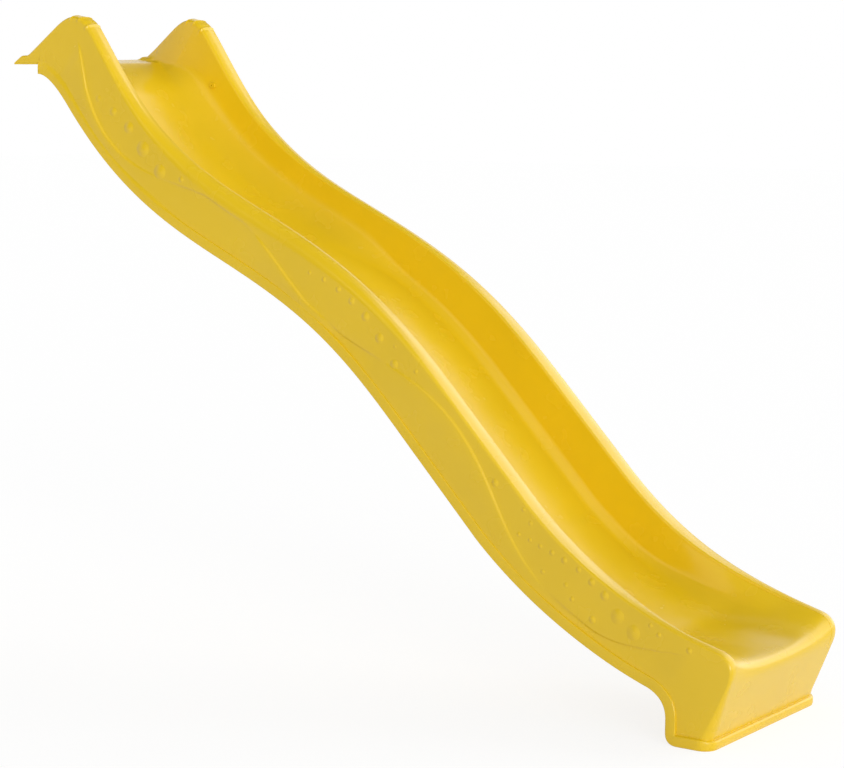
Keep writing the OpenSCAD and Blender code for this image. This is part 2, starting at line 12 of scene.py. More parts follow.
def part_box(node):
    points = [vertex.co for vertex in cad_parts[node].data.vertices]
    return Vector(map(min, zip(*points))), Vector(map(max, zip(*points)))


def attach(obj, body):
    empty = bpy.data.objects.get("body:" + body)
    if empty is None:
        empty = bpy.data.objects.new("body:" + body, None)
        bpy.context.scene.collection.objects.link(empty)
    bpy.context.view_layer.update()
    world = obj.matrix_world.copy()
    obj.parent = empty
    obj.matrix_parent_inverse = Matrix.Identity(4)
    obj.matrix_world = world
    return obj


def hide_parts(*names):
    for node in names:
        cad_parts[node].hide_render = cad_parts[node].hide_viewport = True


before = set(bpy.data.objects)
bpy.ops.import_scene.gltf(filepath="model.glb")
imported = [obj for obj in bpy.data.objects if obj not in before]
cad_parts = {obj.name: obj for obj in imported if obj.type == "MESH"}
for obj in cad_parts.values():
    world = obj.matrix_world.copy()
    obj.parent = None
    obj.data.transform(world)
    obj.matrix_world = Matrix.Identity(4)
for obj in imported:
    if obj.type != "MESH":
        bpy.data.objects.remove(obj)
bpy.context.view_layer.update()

bl_info = {
    "name": "Wave slide",
    "version": (1, 0, 0),
    "blender": (4, 5, 0),
    "location": "3D View > Sidebar > Wave slide",
    "description": "Builds a moulded wave slide with its water fitting",
    "category": "Object",
}

MM = 0.001

# The side profile is in millimetres: x runs downhill from the platform's edge, z up from the ground.
# Four values in a row belong to the first drop, the flat, the second drop and the exit.

# Lip on the platform, with an ear at each end, a bend into the first drop and a hook below
DECK_H = 1500
LIP_REACH = 87
LIP_BEVEL = 25
LIP_TIP = 4
LIP_T = 9
LIP_FALL = 4.5
EAR_H = 23
EAR_FLAT = 21
BEND_X = 20
BEND_ANGLE = 24
BEND_BLEND = 8
HOOK_DROP = 25
HOOK_LEAD = 6
SCREW_PITCH = 280
SCREW_BACK = 30
SCREW_R = 4.5

# Heads: angle of the rear edge, place of the rim's start, rounding of the peak and of the edge's corners, and fillet
# beside the bed
HEAD_ANGLE = 35
HEAD_X = 178
HEAD_Z = 80.5
HEAD_BLEND = 88
HEAD_EASE = 5
HEAD_FILLET = 7
# The rim swells over the heads by this much, fading out over this length of the first drop
SWELL, SWELL_LEN = 9, 320
# The inner walls flare out towards the entry from this distance past the platform's edge, by this share of it
FLARE_X, FLARE = 160, 0.085
# Grip ridges across the rim: distances from the platform's edge, height and half length along the rim
RIDGES = (122, 149, 176)
RIDGE_H, RIDGE_L = 2.2, 5.5
# They run out down the walls over this height, at most this share of the wall's upper part
RIDGE_WRAP, WRAP_SHARE = 8, 0.6

# Line of the slide: slopes in degrees, depths of the side walls, lengths along the rim, height of the rim's end, and
# distance along the rim at which the brow below the heads ends
SLOPES = (54.2, 24.8, 46.2, 15.8)
DEPTHS = (171, 152, 167, 137)
DROP1_LEN = 700
DROP2_LEN = 770
RUNOUT_LEN = 570
EXIT_H = 226
BROW_S = 110

# Section: thickness of a skin, gap between the two at the lower edge, height of the bed over that edge, least depth
SKIN = 3.5
SKIN_GAP = 3.7
BED_LIFT = 48
BED_MIN = 0.5
# Shares of the bed's depth where the inner wall ends: at the heads, in the bowl of the first drop, further down
LEDGES = (0.9, 0.42, 0.76)
# The bowl opens from this far before the rim's start and draws in from this distance on, each over a length
BOWL_LEAD, BOWL_LEN = 190, 400
DRAWN_S, DRAWN_LEN = 650, 350
# Radii on the rim's outer and inner edge, at most this share of the height, and the least flat between them
RIM_ROUNDS = (8, 30, 7, 6)
INNER_ROUNDS = (10, 5, 7, 6)
ROUND_SHARE = 0.3
RIM_FLAT = 2
# Depth of the bed from which the rim has its full crown
CROWN_DEPTH = 40

# Exit: nose, apron and the brink between them and the bed
NOSE_REACH = 89
NOSE_BLEND = 56
NOSE_ROUND = 10
APRON_SLANT = 20.08
BRINK_BACK = 51
BRINK_TURN = 68
BRINK_RISE = -5
EXIT_BED = 43
SCOOP_LEN = 150
# The bed rises by this much over this last length of the run-out, and is followed from a little further on
EXIT_LIFT, EXIT_LEN, EXIT_JOIN = 20, 460, 10
# The rim rises, and the side walls spread, by this much over this length before the exit
RISE, RISE_LEN = 9, 480
SPREAD, SPREAD_LEN = 9, 320
# Lead before the rim's end, length and measure of each change: dish of the basin, narrow rim, melting inner edge
DISH_LEAD, DISH_LEN, DISH_POWER = 420, 440, 2.2
NARROW_LEAD, NARROW_LEN, NARROW_W = 420, 430, 26
MELT_LEAD, MELT_LEN, MELT_ROUND = 70, 80, 1

# Foot with its flange
FOOT_LEN = 115
FOOT_BLEND = 47
TOE_ROUND = 30
FLANGE_H = 22
FLANGE_PROUD = 8
FLANGE_SIDE = 7
FLANGE_ROUND = 36

# Band along the lower edges: it reaches into the wall, ends clear of the hook's face and stands off the ground
BAND_ROOT, BAND_CLEAR, BAND_FOOT = 14, 0.8, 0.6
# Its stations on the ground behind the flange's corner, and the distance to the first
GROUND_N, GROUND_LEAD = 6, 8
# Radii of its edges at the sides and at the front, and of the crease above it, as shares of its depth
BAND_ROUND, FRONT_ROUND, BAND_CREASE = 0.5, 0.9, 0.12
# Its upper edge is soft below the heads: full and gone at these lengths, over this height
BAND_SOFT = (300, 600)
BAND_SLOPE = 18

# Underside: recessed panel with its land and ramp, and two channels with sloping sides
PANEL_RECESS, PANEL_RAMP, LAND_W = 14, 14, 32
CHANNEL_TOP = 37
CHANNEL_Y, CHANNEL_HALF, CHANNEL_RAMP = 90, 22, 12
# Stations of the panel before the slide and past the foot's start, and those over which it fades
PANEL_LEAD, PANEL_TAIL, PANEL_FADE = 4, 2, 8
# Points on the panel's flats outside and between the channels
PANEL_OUTER, PANEL_INNER = 150, 34
# The skin ends this far behind the sole's front, with a corner radius this much less than the flange's
SOLE_BACK, CORNER_LESS = 2, 4
# It reaches under the band by this share of the band's depth, and further under the flange by this much
BAND_COVER, FLANGE_COVER = 0.4, 3
# Stations of the sole
SOLE_N = 21

# Moulded collar round the nozzle's face, and its bore: radius, length, offset of the middle from the seal's face
COLLAR = (9.2, 7.0, 0.3)
COLLAR_BORE = (7.15, 4.0, -1.85)
COLLAR_EDGE = 0.9


def ease(a, b, t):
    """From a to b along half a cosine wave."""
    return a + (b - a) * (1 - np.cos(np.pi * np.clip(t, 0, 1))) / 2


def smooth(t):
    """From 0 to 1 with level ends."""
    t = np.clip(t, 0, 1)
    return t * t * (3 - 2 * t)


def heading(angle):
    """Unit vector of the profile at an angle in degrees."""
    a = np.radians(angle)
    return np.stack([np.cos(a), np.sin(a)], axis=-1)


def turn_left(v):
    """A vector of the profile, turned by a right angle."""
    return np.stack([-v[..., 1], v[..., 0]], axis=-1)


def unit(v):
    return v / np.linalg.norm(v, axis=-1, keepdims=True)


def blend(p, c, q, t):
    """Curve from p to q that leaves and arrives along the lines to the corner c."""
    t = np.asarray(t, float)[:, None]
    return p * (1 - t) ** 2 + c * 2 * t * (1 - t) + q * t ** 2


def line(p, q, t):
    """Points at shares t of the way from p to q."""
    t = np.asarray(t, float)[:, None]
    return p * (1 - t) + q * t


def meet(p, a, q, b):
    """Crossing of a line through p with heading a and a line through q with heading b."""
    side = turn_left(heading(b))
    return p + heading(a) * ((q - p) @ side) / (heading(a) @ side)


def point(x, z):
    return np.array([x, z], float)


class Profile:
    """Rim and lower edge of the slide over the distance along the rim, with the corners of heads, nose and foot."""

    # Samples: of a slope's mean, along the rim, and along a curve of the bed's middle
    MEAN_N, PATH_N, CURVE_N = 48, 2400, 40
    # The entry's curve follows the first drop for this length, in this many points
    ENTRY_RUN, ENTRY_N = 60, 12

    def __init__(self):
        mids = (np.arange(self.MEAN_N) + 0.5) / self.MEAN_N

        def fall(slopes, length):
            return np.mean(np.sin(np.radians(slopes))) * length

        curved = (fall(ease(SLOPES[0], SLOPES[1], mids), DROP1_LEN) + fall(ease(SLOPES[1], SLOPES[2], mids), DROP2_LEN)
                  + fall(SLOPES[2] + (SLOPES[3] - SLOPES[2]) * mids, RUNOUT_LEN))
        straight = (DECK_H + HEAD_Z - EXIT_H - curved) / math.sin(math.radians(SLOPES[2]))
        self.s_flat = DROP1_LEN
        self.s_drop2 = self.s_flat + DROP2_LEN
        self.s_runout = self.s_drop2 + straight
        self.s_end = self.s_runout + RUNOUT_LEN
        self.path_s = np.linspace(0, self.s_end, self.PATH_N + 1)
        moves = heading(-self.slope((self.path_s[1:] + self.path_s[:-1]) / 2)) * (self.s_end / self.PATH_N)
        start = point(HEAD_X, DECK_H + HEAD_Z)
        self.path = np.vstack([start, start + np.cumsum(moves, axis=0)])
        self.path[:, 1] += self.rise(self.path_s)
        self.path += self.rim_normal(self.path_s) * self.swell(self.path_s)[:, None]
        start = self.path[0]
        self.rim_start = start
        self.slope_foot = point(LIP_BEVEL + EAR_FLAT - LIP_REACH, DECK_H + EAR_H)
        self.head_corner = meet(self.slope_foot, HEAD_ANGLE, start, -SLOPES[0])
        self.peak_start = self.head_corner - HEAD_BLEND * heading(HEAD_ANGLE)
        self.rim_end = self.path[-1]
        self.nose_corner = self.rim_end + NOSE_REACH * heading(-SLOPES[3])
        down = heading(-90 - APRON_SLANT)
        self.nose_start = self.nose_corner - NOSE_BLEND * heading(-SLOPES[3])
        self.apron_top = self.nose_corner + NOSE_BLEND * down
        fall = math.cos(math.radians(APRON_SLANT))
        self.apron_foot = self.nose_corner + down * (self.nose_corner[1] - FLANGE_H) / fall
        self.apron_ground = self.nose_corner + down * (self.nose_corner[1] - SKIN_GAP) / fall
        self.sole_front = self.apron_foot[0] + FLANGE_PROUD
        self.foot_rear = self.sole_front - FOOT_LEN
        self.sole_mid = self.foot_rear + TOE_ROUND + (FOOT_LEN - TOE_ROUND) / 2
        lows = self.low(self.path_s)
        self.s_foot = self.path_s[lows[:, 0] < self.foot_rear - FOOT_BLEND][-1]
        low_foot = self.low(self.s_foot)
        self.foot_corner = meet(low_foot, -self.slope(self.s_foot), point(self.foot_rear, 0), 90)
        self.foot_top = point(self.foot_rear, self.foot_corner[1] - FOOT_BLEND)
        self.toe = point(self.foot_rear, TOE_ROUND)
        self.hook_toe = point(0, DECK_H - HOOK_DROP)
        self.brow_corner = meet(self.hook_toe, 0, self.low(BROW_S), -self.slope(BROW_S))

    def entry_line(self):
        """The middle of the bed over the lip, round its bend and into the first drop."""
        bend = point(BEND_X, DECK_H + LIP_T - BEND_X * math.tan(math.radians(LIP_FALL)))
        s = np.linspace(BROW_S, BROW_S + self.ENTRY_RUN, self.ENTRY_N)
        run = self.low(s) + self.rim_normal(s) * BED_LIFT
        rear, fore = bend - BEND_BLEND * heading(-LIP_FALL), bend + BEND_BLEND * heading(-BEND_ANGLE)
        corner = meet(fore, -BEND_ANGLE, run[0], -self.slope(BROW_S))
        t = np.linspace(0, 1, self.CURVE_N)
        return np.vstack([rear - LIP_REACH * heading(-LIP_FALL), blend(rear, bend, fore, t[:-1]),
                          blend(fore, corner, run[0], t), run[1:]])

    def bed_line(self):
        """The middle of the bed from the run-out over the exit lip down to the apron."""
        s = np.linspace(self.s_end - EXIT_LEN, self.s_end - SCOOP_LEN, self.CURVE_N)
        lift = BED_LIFT + EXIT_LIFT * smooth((s - s[0]) / (s[-1] - s[0]))
        run = self.low(s) + self.rim_normal(s) * lift[:, None]
        start = run[-1]
        down = -90 - APRON_SLANT
        brink = point(self.nose_corner[0] - BRINK_BACK, EXIT_H - EXIT_BED)
        front = self.nose_corner + BRINK_TURN * heading(down)
        scoop_corner = meet(start, -self.slope(s[-1]), brink, BRINK_RISE)
        brink_corner = meet(brink, BRINK_RISE, self.nose_corner, down)
        t = np.linspace(0, 1, self.CURVE_N)[1:]
        return np.vstack([run, blend(start, scoop_corner, brink, t), blend(brink, brink_corner, front, t),
                          line(front, self.apron_ground, t)])

    def along(self, s, v):
        """Four values eased into each other over the drops, and straight over the run-out."""
        s = np.asarray(s, float)
        first = ease(v[0], v[1], s / DROP1_LEN)
        second = ease(v[1], v[2], (s - self.s_flat) / DROP2_LEN)
        last = v[2] + (v[3] - v[2]) * (s - self.s_runout) / RUNOUT_LEN
        return np.where(s < self.s_flat, first,
                        np.where(s < self.s_drop2, second, np.where(s < self.s_runout, v[2], last)))

    def to_end(self, s, lead, span):
        """From 0, this lead before the rim's end, to 1 over a span."""
        return smooth((np.asarray(s) - self.s_end + lead) / span)

    def slope(self, s):
        return self.along(s, SLOPES)

    def rise(self, s):
        return RISE * self.to_end(s, RISE_LEN, RISE_LEN)

    def swell(self, s):
        return SWELL * (1 - smooth(np.asarray(s) / SWELL_LEN))

    def depth(self, s):
        return self.along(s, DEPTHS) + self.rise(s) + self.swell(s)

    def rim(self, s):
        return np.stack([np.interp(s, self.path_s, self.path[:, k]) for k in (0, 1)], axis=-1)

    def rim_normal(self, s):
        return turn_left(heading(-self.slope(s)))

    def low(self, s):
        return self.rim(s) - self.rim_normal(s) * np.asarray(self.depth(s))[..., None]

    def head_edge(self, x):
        """Height of the head's edge over the platform, with its corners eased."""
        def sharp(x):
            bevel = LIP_TIP + (EAR_H - LIP_TIP) * (x + LIP_REACH) / LIP_BEVEL
            rise = EAR_H + (x - self.slope_foot[0]) * math.tan(math.radians(HEAD_ANGLE))
            return np.where(x < LIP_BEVEL - LIP_REACH, bevel, np.maximum(EAR_H, rise))
        return np.mean([sharp(np.asarray(x, float) + d) for d in np.linspace(-HEAD_EASE, HEAD_EASE, 11)],
                       axis=0)


def shares(n):
    """n equal steps from 0 to 1, without the 0."""
    return np.linspace(0, 1, n + 1)[1:]


def even(points, n):
    """The curve through these points, cut into n equal lengths."""
    d = np.r_[0, np.cumsum(np.linalg.norm(np.diff(points, axis=0), axis=1))]
    t = np.linspace(0, d[-1], n + 1)
    return np.stack([np.interp(t, d, points[:, k]) for k in range(points.shape[1])], axis=-1)


def drop_to(p, up, curve, slack=3):
    """Distance from p against its up direction to a curve; 0 where that lies above p within the slack, or nowhere."""
    side = turn_left(up)
    off = (curve - p) @ side
    depth = -(curve - p) @ up
    found = []
    for k in np.nonzero(off[:-1] * off[1:] <= 0)[0]:
        f = off[k] / (off[k] - off[k + 1] + 1e-12)
        found.append(depth[k] * (1 - f) + depth[k + 1] * f)
    found = [d for d in found if d > -slack]
    return max(min(found), 0.0) if found else 0.0


class Stations:
    """Pairs of lower edge and rim from the rear of the lip to the front of the foot, with what the sections need."""

    # Counts over the lip, the heads and the slide
    DECK_N, FAN_N, SLIDE_N = 22, 132, 108
    # Counts at the foot, of the rim and of the lower edge, with the same sum
    RUNOUT_N, LEAD_N, NOSE_N, APRON_N = 12, 4, 26, 20
    TURN_N, REAR_N, TOE_N = 32, 10, 20
    # Samples of the head's edge and of its curves
    EDGE_N, FINE_N = 40, 80
    # Distance along the rim given to the stations of the lip, which lie before it
    BEFORE = -1000.0

    def __init__(self, p):
        fine = np.linspace(0, 1, self.FINE_N)
        x_deck = np.linspace(-LIP_REACH, 0, self.DECK_N)
        rim_deck = np.stack([x_deck, DECK_H + p.head_edge(x_deck)], axis=-1)
        low_deck = np.stack([x_deck, np.full(self.DECK_N, DECK_H)], axis=-1)

        x_rise = np.linspace(HOOK_LEAD, p.peak_start[0], self.EDGE_N)
        rise = np.stack([x_rise, DECK_H + p.head_edge(x_rise)], axis=-1)
        peak = blend(p.peak_start, p.head_corner, p.rim_start, fine)
        brow = p.rim(BROW_S * fine)
        rim_fan = even(np.vstack([rise, peak[1:], brow[1:]]), self.FAN_N - 1)
        low_fan = blend(p.hook_toe, p.brow_corner, p.low(BROW_S), np.linspace(0, 1, self.FAN_N))

        s_slide = np.linspace(BROW_S, p.s_foot, self.SLIDE_N + 1)[1:]
        s_run = p.s_foot + (p.s_end - p.s_foot) * shares(self.RUNOUT_N)
        nose, apron = shares(self.NOSE_N), shares(self.APRON_N)
        rim_foot = np.vstack([p.rim(s_run), line(p.rim_end, p.nose_start, shares(self.LEAD_N)),
                              blend(p.nose_start, p.nose_corner, p.apron_top, nose),
                              line(p.apron_top, p.apron_ground, apron)])
        turn = blend(p.low(p.s_foot), p.foot_corner, p.foot_top, shares(self.TURN_N))
        rear = line(p.foot_top, p.toe, shares(self.REAR_N))
        corner, sole = point(p.foot_rear, 0), point(p.foot_rear + TOE_ROUND, 0)
        toe = blend(p.toe, corner, sole, shares(self.TOE_N))
        low_foot = np.vstack([turn, rear, toe])

        self.rims = np.vstack([rim_deck, rim_fan, p.rim(s_slide), rim_foot])
        self.lows = np.vstack([low_deck, low_fan, p.low(s_slide), low_foot])
        n = len(self.rims)
        self.foot_i = self.DECK_N + self.FAN_N + self.SLIDE_N
        # Both ends of the lower edge run on level
        reach = np.array([10, 0])
        ahead = np.vstack([self.lows[1:], self.lows[-1:] + reach])
        behind = np.vstack([self.lows[:1] - reach, self.lows[:-1]])
        a, b = turn_left(unit(self.lows - behind)), turn_left(unit(ahead - self.lows))
        self.normals = (a + b) / (1 + np.sum(a * b, axis=1, keepdims=True))
        self.feet = self.lows + SKIN_GAP * self.normals
        self.ups = unit(self.rims - self.feet)
        self.heights = np.linalg.norm(self.rims - self.feet, axis=1)

        # Distance along the rim, which goes on round the nose and is negative over the heads
        self.s = np.full(n, self.BEFORE)
        i = self.DECK_N + self.FAN_N
        end_i = self.foot_i + self.RUNOUT_N
        steps = np.linalg.norm(np.diff(rim_fan, axis=0), axis=1)
        self.s[self.DECK_N:i] = np.r_[0, np.cumsum(steps)] - np.sum(steps) + BROW_S
        self.s[i:self.foot_i] = s_slide
        self.s[self.foot_i:end_i] = s_run
        self.s[end_i:] = p.s_end + np.cumsum(np.linalg.norm(np.diff(self.rims[end_i - 1:], axis=0), axis=1))

        self.bed = self.heights - BED_LIFT + SKIN_GAP
        deck_bed = p.head_edge(x_deck) - (LIP_T - x_deck * math.tan(math.radians(LIP_FALL)))
        self.bed[:self.DECK_N] = np.maximum(deck_bed, BED_MIN)
        entry_line, bed_line = p.entry_line(), p.bed_line()
        for k in range(self.DECK_N - 1, n):
            if k < i:
                self.bed[k] = drop_to(self.rims[k], self.ups[k], entry_line)
            elif self.s[k] > p.s_end - EXIT_LEN + EXIT_JOIN:
                self.bed[k] = drop_to(self.rims[k], self.ups[k], bed_line)
        nose_i = end_i + self.LEAD_N
        self.nose_share = np.concatenate([np.zeros(nose_i), nose, np.ones(self.APRON_N)])
        self.apron_share = np.concatenate([np.zeros(nose_i + self.NOSE_N), apron])
        # How far the section has opened out into the dish of the exit, left the head, and drawn in its fillets
        self.dish = p.to_end(self.s, DISH_LEAD, DISH_LEN)
        self.opened = smooth((self.s + BOWL_LEAD) / BOWL_LEN)
        self.drawn = smooth((self.s - DRAWN_S) / DRAWN_LEN)


# Turns of the wave line: share of the rim's length, share of the swing from crest to trough
TURNS = ((-0.05, 0.06), (0.102, 0.96), (0.27, 0.0), (0.452, 1.0), (0.65, 0.0), (0.84, 0.9), (0.88, 0.87), (1.0, 0.05))
# Depths of crest and trough below the rim, and the part of the swelling that the line leaves out
CREST_D, TROUGH_D, SWELL_PART = 28, 121, 0.5
# It stays above this share of the wall, and so many ramps below the rim's radius; a ramp is at most this share high
LINE_LOW, LINE_ROOM, RAMP_SHARE = 0.25, 1.6, 0.1
# Shares of the rim's length at which the panel below the line changes from proud to sunk and back
STEP_TURNS = (-0.03, 0.18, 0.32, 0.455, 0.54, 0.83, 1.0)
# Fullness of a panel, share of the height where it is sunk, and shares over which the step fades at its ends
STEP_POWER, STEP_SUNK = 0.6, 0.8
STEP_LEAD, STEP_FADE = 0.012, 0.02


def wave_depth(share):
    """Depth of the wave line below the rim."""
    out = np.full(len(share), TURNS[0][1])
    for (f0, v0), (f1, v1) in zip(TURNS, TURNS[1:]):
        inside = share >= f0
        out[inside] = ease(v0, v1, (share[inside] - f0) / (f1 - f0))
    return CREST_D + (TROUGH_D - CREST_D) * out


def wave_step(share):
    """Height of the panel below the wave line over the wall: proud and sunk by turns."""
    out = np.zeros(len(share))
    for k, (f0, f1) in enumerate(zip(STEP_TURNS, STEP_TURNS[1:])):
        inside = (share >= f0) & (share <= f1)
        lobe = np.sin(np.pi * (share[inside] - f0) / (f1 - f0)) ** STEP_POWER
        out[inside] = -STEP_SUNK * lobe if k % 2 else lobe
    return out * smooth((share + STEP_LEAD) / STEP_FADE) * smooth((1.0 - share) / STEP_FADE)


# Bubbles on each side wall: place in the profile, radius, height
BUBBLES = (
    (211, 1413, 10, 1.6), (262, 1380, 13, 3.0), (314, 1340, 17, 4.2), (361, 1287, 22, 5.2),
    (417, 1231, 21, 5.0), (488, 1213, 9, 2.6),
    (895, 1000, 6.5, 2.2), (938, 985, 7.5, 2.6), (982, 963, 9, 3.0), (1022, 938, 11, 3.4),
    (1063, 903, 13, 3.8), (1104, 854, 14, 4.0), (1147, 795, 13, 3.4), (1150, 837, 5.5, 1.6), (1210, 782, 7, 2.4),
    (1435, 540, 11, 3.4), (1514, 486, 6.5, 2.2), (1533, 456, 7, 1.8), (1501, 427, 6, 2.0), (1532, 417, 6.5, 2.2),
    (1560, 406, 7, 2.4), (1592, 395, 8, 2.8), (1625, 381, 9.5, 3.0), (1663, 364, 8.5, 2.8), (1698, 340, 10, 3.2),
    (1733, 313, 13, 3.8), (1769, 270, 20, 3.6), (1812, 239, 20, 3.6),
    (1567, 348, 7, 2.2), (1629, 325, 7.5, 1.8), (1646, 294, 7.5, 2.4), (1701, 254, 10.5, 3.2),
    (1855, 262, 7, 2.2), (1877, 244, 7, 2.4), (1955, 220, 9, 2.6),
)
# Their form: fullness of the crown, softness of the foot, depth of the closed underside; steps over and round it
DOME_CROWN, DOME_FOOT, DOME_SINK = 2.1, 1.5, 0.12
DOME_RINGS, DOME_SIDES = 18, 28
# Depth that they are set into the wall
BUBBLE_SET = 0.2


class SlideSizes(PropertyGroup):
    """Sizes of the moulding's section that the solids leave open."""
    body_w: FloatProperty(name="Width", description="Width over the side walls", default=0.496, unit="LENGTH")
    rim_w: FloatProperty(name="Rim width", description="Width of each rim", default=0.052, unit="LENGTH")
    rim_crown: FloatProperty(name="Rim crown", description="Rise of the rim's middle over its edges", default=0.0018,
                             unit="LENGTH")
    apron_round: FloatProperty(name="Apron round", description="Radius on the apron's lower corners", default=0.036,
                               unit="LENGTH")
    draft: FloatProperty(name="Draft", description="Draft of each inner wall over the channel's depth", default=0.012,
                         unit="LENGTH")
    bowl_w: FloatProperty(name="Bowl", description="Width of the fillet beside the bed down to the flat",
                          default=0.105, unit="LENGTH")
    fillet_w: FloatProperty(name="Fillet", description="Width of that fillet on the second drop", default=0.038,
                            unit="LENGTH")
    sag: FloatProperty(name="Sag", description="Sag of the bed at its middle", default=0.003, unit="LENGTH")
    band_h: FloatProperty(name="Band height", description="Height of the band along the lower edge", default=0.026,
                          unit="LENGTH")
    band_proud: FloatProperty(name="Band", description="Distance that the band stands proud of the wall",
                              default=0.003, unit="LENGTH")
    step_h: FloatProperty(name="Wave step", description="Height of the step at the wave line", default=0.0040,
                          unit="LENGTH")
    step_w: FloatProperty(name="Wave ramp", description="Half width of the ramp at the wave line", default=0.0035,
                          unit="LENGTH")


class SlideColours(PropertyGroup):
    """Colours of the slide's materials."""
    yellow: FloatVectorProperty(name="Moulding", description="Colour of the moulded plastic", subtype="COLOR",
                                size=3, default=(0.75, 0.50, 0.008))
    seal: FloatVectorProperty(name="Seals", description="Colour of the rubber seals", subtype="COLOR", size=3,
                              default=(0.018, 0.018, 0.020))
    fitting: FloatVectorProperty(name="Fitting", description="Colour of the nut and nipple", subtype="COLOR",
                                 size=3, default=(0.27, 0.28, 0.30))


# Helpers

def deselect():
    if bpy.context.mode != "OBJECT":
        bpy.ops.object.mode_set(mode="OBJECT")
    bpy.ops.object.select_all(action="DESELECT")


def activate(*objs):
    deselect()
    for o in objs:
        o.select_set(True)
    bpy.context.view_layer.objects.active = objs[0]


def edit(obj, *steps):
    """Runs mesh operators on a whole object in edit mode."""
    activate(obj)
    bpy.ops.object.mode_set(mode="EDIT")
    bpy.ops.mesh.select_all(action="SELECT")
    for step in steps:
        step()
    bpy.ops.object.mode_set(mode="OBJECT")


def sheet(name, rows, flip=False):
    """A grid primitive whose vertices are put at rows[i][j] of the profile, moved to the frame's origin."""
    n, m = len(rows), len(rows[0])
    deselect()
    bpy.ops.mesh.primitive_grid_add(x_subdivisions=m - 1, y_subdivisions=n - 1, size=1)
    obj = bpy.context.active_object
    obj.name = obj.data.name = name
    if len(obj.data.vertices) != n * m:
        raise RuntimeError(f"{name}: the grid has {len(obj.data.vertices)} vertices, not {n * m}")
    co = np.array(rows, float).reshape(-1, 3)
    co[:, 0] -= PROFILE.sole_mid
    obj.data.vertices.foreach_set("co", (co * MM).ravel())
    obj.data.update()
    if flip:
        edit(obj, bpy.ops.mesh.flip_normals)
    return obj


def close(obj):
    """Merges vertices that meet, and turns all faces outward."""
    edit(obj, lambda: bpy.ops.mesh.remove_doubles(threshold=1e-6),
         lambda: bpy.ops.mesh.normals_make_consistent(inside=False))


def solidify(obj):
    """Gives a sheet the thickness of a skin."""
    activate(obj)
    mod = obj.modifiers.new("skin", "SOLIDIFY")
    mod.thickness = SKIN * MM
    mod.offset = -1
    mod.use_rim = True
    bpy.ops.object.modifier_apply(modifier=mod.name)


def cut(obj, cutter):
    """Takes a cutter out of an object, and removes it."""
    activate(obj)
    before = len(obj.data.polygons)
    mod = obj.modifiers.new("cut", "BOOLEAN")
    mod.operation = "DIFFERENCE"
    mod.solver = "FAST"
    mod.object = cutter
    bpy.ops.object.modifier_apply(modifier=mod.name)
    bpy.data.objects.remove(cutter)
    if len(obj.data.polygons) <= before:
        raise RuntimeError(f"{obj.name}: the cut left no edge")


def finish_piece(obj, *nodes, angle=32):
    """Shades a moulded piece, gives it its material and slot, and lets it ride on the frame."""
    activate(obj)
    bpy.ops.object.shade_smooth_by_angle(angle=math.radians(angle))
    obj.data.materials.clear()
    obj.data.materials.append(yellow_material())
    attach(obj, "root")
    if nodes:
        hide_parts(*nodes)


def cylinder(x, y, z, r, length, tilt=0):
    """A round blank or cutter about a point of the profile, upright unless tilted."""
    bpy.ops.mesh.primitive_cylinder_add(vertices=48, radius=r * MM, depth=length * MM, rotation=(tilt, 0, 0),
                                        location=((x - PROFILE.sole_mid) * MM, y * MM, z * MM))
    obj = bpy.context.active_object
    bpy.ops.object.transform_apply(location=True, rotation=True, scale=True)
    return obj


def screw_holes(obj, z, length):
    """Cuts the lip's two screw holes, with cutters of this length about this height."""
    for side in (-1, 1):
        cut(obj, cylinder(-SCREW_BACK, side * SCREW_PITCH / 2, z, SCREW_R, length))


PROFILE = Profile()
STATIONS = Stations(PROFILE)


# Materials

def blank_tree(owner):
    """The emptied node tree of a material or world."""
    owner.use_nodes = True
    owner.node_tree.nodes.clear()
    return owner.node_tree


def feed(n, **sockets):
    """Gives a node's inputs constants or the outputs of other nodes; _ stands for a space in their names."""
    for name, value in sockets.items():
        socket = n.inputs[name.replace("_", " ")]
        if isinstance(value, bpy.types.NodeSocket):
            n.id_data.links.new(value, socket)
        else:
            socket.default_value = value


def node(tree, kind, **sockets):
    """A new shader node with its inputs fed."""
    n = tree.nodes.new(kind)
    feed(n, **sockets)
    return n


def new_material(name):
    """A material with a principled shader: the material, its node tree, the shader and the object coordinates."""
    mat = bpy.data.materials.get(name) or bpy.data.materials.new(name)
    tree = blank_tree(mat)
    bsdf = node(tree, "ShaderNodeBsdfPrincipled")
    node(tree, "ShaderNodeOutputMaterial", Surface=bsdf.outputs["BSDF"])
    return mat, tree, bsdf, node(tree, "ShaderNodeTexCoord").outputs["Object"]


def noise(tree, coords, scale, detail=3.0, roughness=0.5):
    n = node(tree, "ShaderNodeTexNoise", Vector=coords, Scale=scale, Detail=detail, Roughness=roughness)
    return n.outputs["Fac"]


def ramp(tree, fac, stops):
    r = node(tree, "ShaderNodeValToRGB", Fac=fac)
    while len(r.color_ramp.elements) < len(stops):
        r.color_ramp.elements.new(0.5)
    for e, (pos, col) in zip(r.color_ramp.elements, stops):
        e.position = pos
        e.color = (*col, 1)
    return r.outputs["Color"]


def level(tree, fac, low, high, lo_in=0.3, hi_in=0.7):
    n = node(tree, "ShaderNodeMapRange", Value=fac, From_Min=lo_in, From_Max=hi_in, To_Min=low, To_Max=high)
    return n.outputs["Result"]


def bump(tree, height, strength, distance, **before):
    n = node(tree, "ShaderNodeBump", Height=height, Strength=strength, Distance=distance, **before)
    return n.outputs["Normal"]


def shade(colour, k):
    """A colour made lighter or darker by a factor."""
    return tuple(min(1, c * k) for c in colour)


